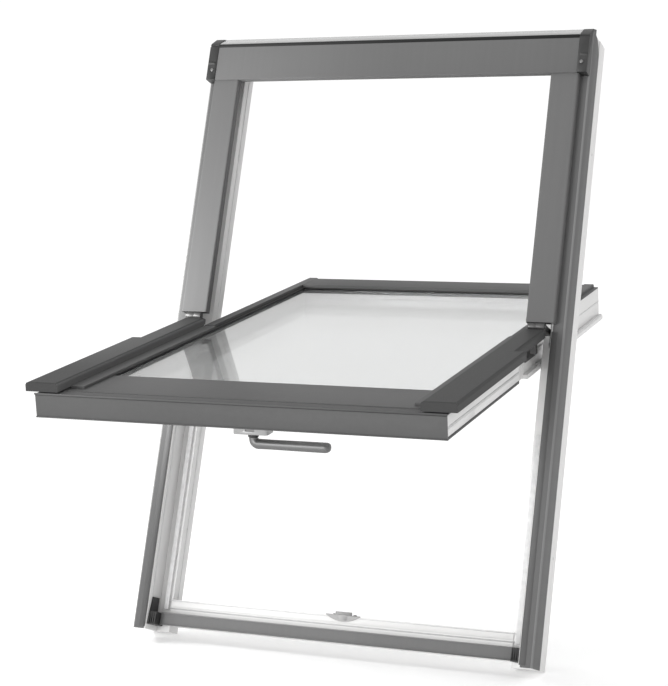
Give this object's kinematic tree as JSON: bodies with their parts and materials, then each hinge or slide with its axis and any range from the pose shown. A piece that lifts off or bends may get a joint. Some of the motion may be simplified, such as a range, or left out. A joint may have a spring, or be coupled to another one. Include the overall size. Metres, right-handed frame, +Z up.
{
  "type": "roof skylight",
  "caption": "Centre-pivot roof window with white frame, grey covers, hood and double-glazed sash standing open.",
  "frame": {"origin": "middle of the sill's underside", "axes": "+Z up, +X to the right seen from outdoors, +Y indoors; the frame leans back 18.7 degrees"},
  "size_m": [0.78, 1.0853, 1.1495],
  "materials": {
    "white_pvc": "satin",
    "grey_aluminium": "painted satin",
    "steel": "zinc plated",
    "black_plastic": "matte",
    "rubber": "matte",
    "glass": "clear",
    "spacer": "mill",
    "handle_metal": "satin"
  },
  "bodies": {
    "frame": {"jamb_left": "white_pvc", "jamb_right": "white_pvc", "jamb_steel_left": "steel", "jamb_steel_right": "steel", "head_rail": "white_pvc", "sill_rail": "white_pvc", "side_trim_left": "grey_aluminium", "side_trim_right": "grey_aluminium", "upper_cover_left": "grey_aluminium", "upper_cover_right": "grey_aluminium", "cover_end_left": "black_plastic", "cover_end_right": "black_plastic", "hood": "grey_aluminium", "hood_cap_left": "black_plastic", "hood_cap_right": "black_plastic", "hood_screws": "steel", "sill_cladding": "grey_aluminium", "sill_block_left": "black_plastic", "sill_block_right": "black_plastic", "sill_keep": "steel", "keep_screws": "steel", "frame_gasket": "rubber", "hinge_base_left": "steel", "hinge_base_right": "steel", "hinge_base_screws": "steel", "hinge_pins": "steel"},
    "sash": {"stile_left": "white_pvc", "stile_right": "white_pvc", "stile_steel_left": "steel", "stile_steel_right": "steel", "top_rail": "white_pvc", "bottom_rail": "white_pvc", "bottom_cladding": "grey_aluminium", "lower_cover_left": "grey_aluminium", "lower_cover_right": "grey_aluminium", "cover_cap_left": "black_plastic", "cover_cap_right": "black_plastic", "upper_trim_left": "grey_aluminium", "upper_trim_right": "grey_aluminium", "top_trim": "grey_aluminium", "outer_pane": "glass", "inner_pane": "glass", "spacer_bars": "spacer", "edge_seal": "rubber", "outer_gasket": "rubber", "inner_gasket": "rubber", "setting_blocks": "black_plastic", "flange_gasket": "rubber", "hinge_arm_left": "steel", "hinge_arm_right": "steel", "hinge_arm_screws": "steel", "lock_case": "handle_metal", "case_screws": "steel"},
    "handle": {"lever": "handle_metal"},
    "latch": {"latch_bolt": "steel"}
  },
  "joints": [
    {"name": "sash_pivot", "type": "hinge", "parent": "frame", "child": "sash", "pos_m": [0, 0.10645, 0.58896], "axis": [1, 0, 0], "range_deg": [-85.7, 64.3]},
    {"name": "handle_turn", "type": "hinge", "parent": "sash", "child": "handle", "pos_m": [0.012, -0.39474, 0.43675], "axis": [0, -0.1219, 0.9925], "range_deg": [0, 90]},
    {"name": "latch_slide", "type": "slide", "parent": "sash", "child": "latch", "axis": [0, -0.9925, -0.1219], "range_m": [0, 0.01]}
  ],
  "couplings": [
    {"joint": "latch_slide", "follows": "handle_turn", "m_per_rad": 0.00636}
  ]
}
